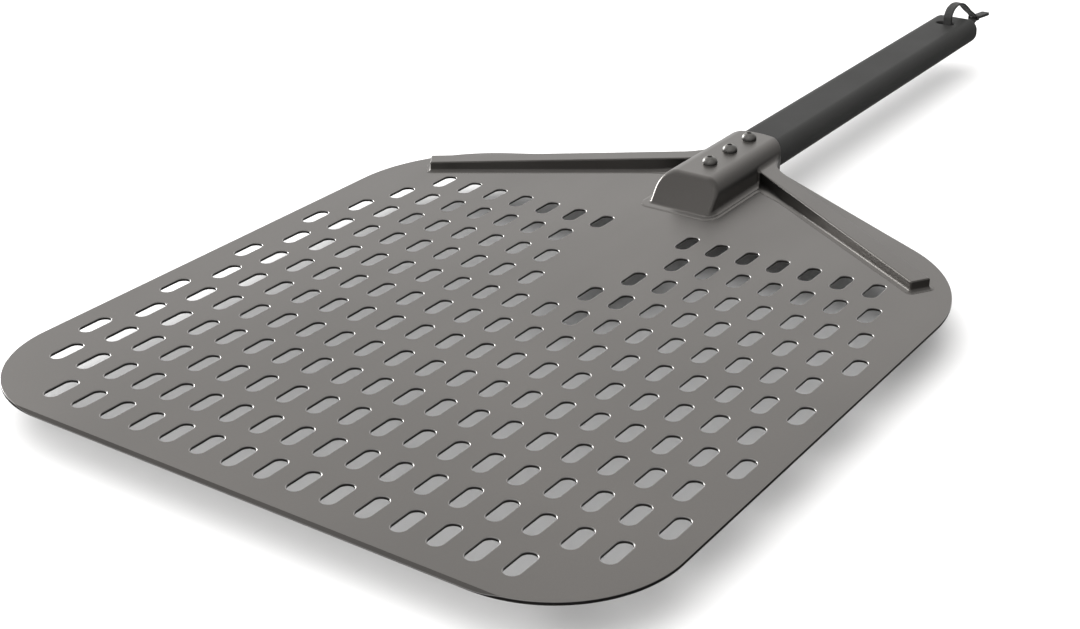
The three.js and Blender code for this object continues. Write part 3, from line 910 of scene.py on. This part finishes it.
def strap_webbing():
    """Woven nylon: diagonal threads with fine fibres in them, and darker edges."""
    s = Shader("strap_webbing")
    uv = s.node("ShaderNodeUVMap", {"uv_map": "weave"}).outputs["UV"]
    split = s.node("ShaderNodeSeparateXYZ", Vector=uv)
    fibres = s.noise(5200, 2, (1, 1, 1))
    threads = s.node("ShaderNodeTexWave", {"bands_direction": "DIAGONAL"}, Vector=uv, Scale=1.6,
                     Distortion=0.4).outputs["Fac"]
    off_centre = s.node("ShaderNodeMath", {"operation": "ABSOLUTE"})
    s.feed(off_centre.inputs[0], split.outputs["Y"])
    edge = s.spread(off_centre.outputs[0], 0, 1, STRAP["half_width"] - 0.75,
                    STRAP["half_width"] - 0.45)
    face = s.blend(s.spread(threads, 0, 1), (0.016, 0.016, 0.0155, 1), (0.045, 0.045, 0.043, 1))
    face = s.blend(s.spread(fibres, 0, 0.35), face, (0.012, 0.012, 0.012, 1))
    color = s.blend(edge, face, (0.004, 0.004, 0.004, 1))
    normal = s.bump(threads, 0.0001, 0.6, s.bump(fibres, 0.00004, 0.4))
    return s.finish(Base_Color=color, Roughness=0.8, Sheen_Weight=0.08, Sheen_Roughness=0.4,
                    Normal=normal)


# ------------------------------------------------------------------ stage


def make_floor():
    half = 6.0  # metres
    mesh = bpy.data.meshes.new("floor")
    z = -FLOOR_GAP * MM
    mesh.from_pydata([(-half, -half, z), (half, -half, z), (half, half, z), (-half, half, z)], [],
                     [(0, 1, 2, 3)])
    floor = bpy.data.objects.new("floor", mesh)
    bpy.context.scene.collection.objects.link(floor)
    s = Shader("floor_paint")
    tone = s.blend(s.spread(s.noise(3, 2), 0, 1), (0.86, 0.86, 0.86, 1), (0.88, 0.88, 0.88, 1))
    mesh.materials.append(s.finish(Base_Color=tone, Roughness=0.9, Specular_IOR_Level=0.1))
    floor.visible_glossy = False  # mirrored rays go through it to the world
    return floor


def make_light(name, direction, distance, size, power, unlit):
    """A square soft box that faces the frame's origin and lights everything but one object."""
    light = bpy.data.lights.new(name, "AREA")
    light.size = size
    light.energy = power
    lamp = bpy.data.objects.new(name, light)
    bpy.context.scene.collection.objects.link(lamp)
    away = Vector(direction).normalized()
    lamp.location = away * distance
    lamp.rotation_euler = away.to_track_quat("Z", "Y").to_euler()
    receivers = bpy.data.collections.new(name + "_receivers")
    receivers.objects.link(unlit)
    receivers.collection_objects[0].light_linking.link_state = "EXCLUDE"
    lamp.light_linking.receiver_collection = receivers


def make_world():
    """Two studios in one: a world that lights the peel, and another that it mirrors.

    The light comes mostly from above on the front left. The mirrored world is bright behind on the
    left, faint overhead and nearly black elsewhere, so from other sides the peel looks darker.
    """
    world = bpy.data.worlds.new("studio")
    bpy.context.scene.world = world
    world.use_nodes = True
    tree = world.node_tree
    background = tree.nodes["Background"]
    background.inputs["Color"].default_value = (1, 0.995, 0.99, 1)
    coordinates = tree.nodes.new("ShaderNodeTexCoord")

    def along(axis, low, high):
        """Light that grows along an axis, from (dot product, strength) low to high."""
        dot = tree.nodes.new("ShaderNodeVectorMath")
        dot.operation = "DOT_PRODUCT"
        dot.inputs[1].default_value = Vector(axis).normalized()
        tree.links.new(coordinates.outputs["Generated"], dot.inputs[0])
        ramp = tree.nodes.new("ShaderNodeMapRange")
        for name, value in zip(("From Min", "To Min", "From Max", "To Max"), low + high):
            ramp.inputs[name].default_value = value
        tree.links.new(dot.outputs["Value"], ramp.inputs["Value"])
        return ramp.outputs["Result"]

    ray = tree.nodes.new("ShaderNodeLightPath")
    strength = tree.nodes.new("ShaderNodeMix")
    strength.data_type = "FLOAT"
    tree.links.new(ray.outputs["Is Glossy Ray"], strength.inputs["Factor"])
    tree.links.new(along(**GENERAL_LIGHT), strength.inputs["A"])
    mirrored = tree.nodes.new("ShaderNodeMath")
    tree.links.new(along(**MIRRORED_LIGHT), mirrored.inputs[0])
    tree.links.new(along(**MIRRORED_SKY), mirrored.inputs[1])
    tree.links.new(mirrored.outputs["Value"], strength.inputs["B"])
    tree.links.new(strength.outputs["Result"], background.inputs["Strength"])


def make_camera():
    camera = bpy.data.cameras.new("camera")
    camera.lens = 59.19
    camera.sensor_width = 36
    camera.shift_x = 0.0071
    camera.clip_start = 0.01
    placed = bpy.data.objects.new("camera", camera)
    placed.location = (0.40035, -0.7429, 0.3377)
    placed.rotation_euler = [math.radians(a) for a in (64.123, 0.42, 34.509)]
    bpy.context.scene.collection.objects.link(placed)
    bpy.context.scene.camera = placed


metal = anodised_metal()
make_blade(metal)
make_bracket(metal)
make_handle(grip_plastic())
make_fasteners(screw_steel(), insert_brass())
webbing = strap_webbing()
make_strap(webbing)
make_bar_tack(webbing)

floor = make_floor()
make_world()
make_light("key_left", unlit=floor, **KEY_LIGHT)
make_camera()
bpy.context.scene.view_settings.view_transform = "Standard"
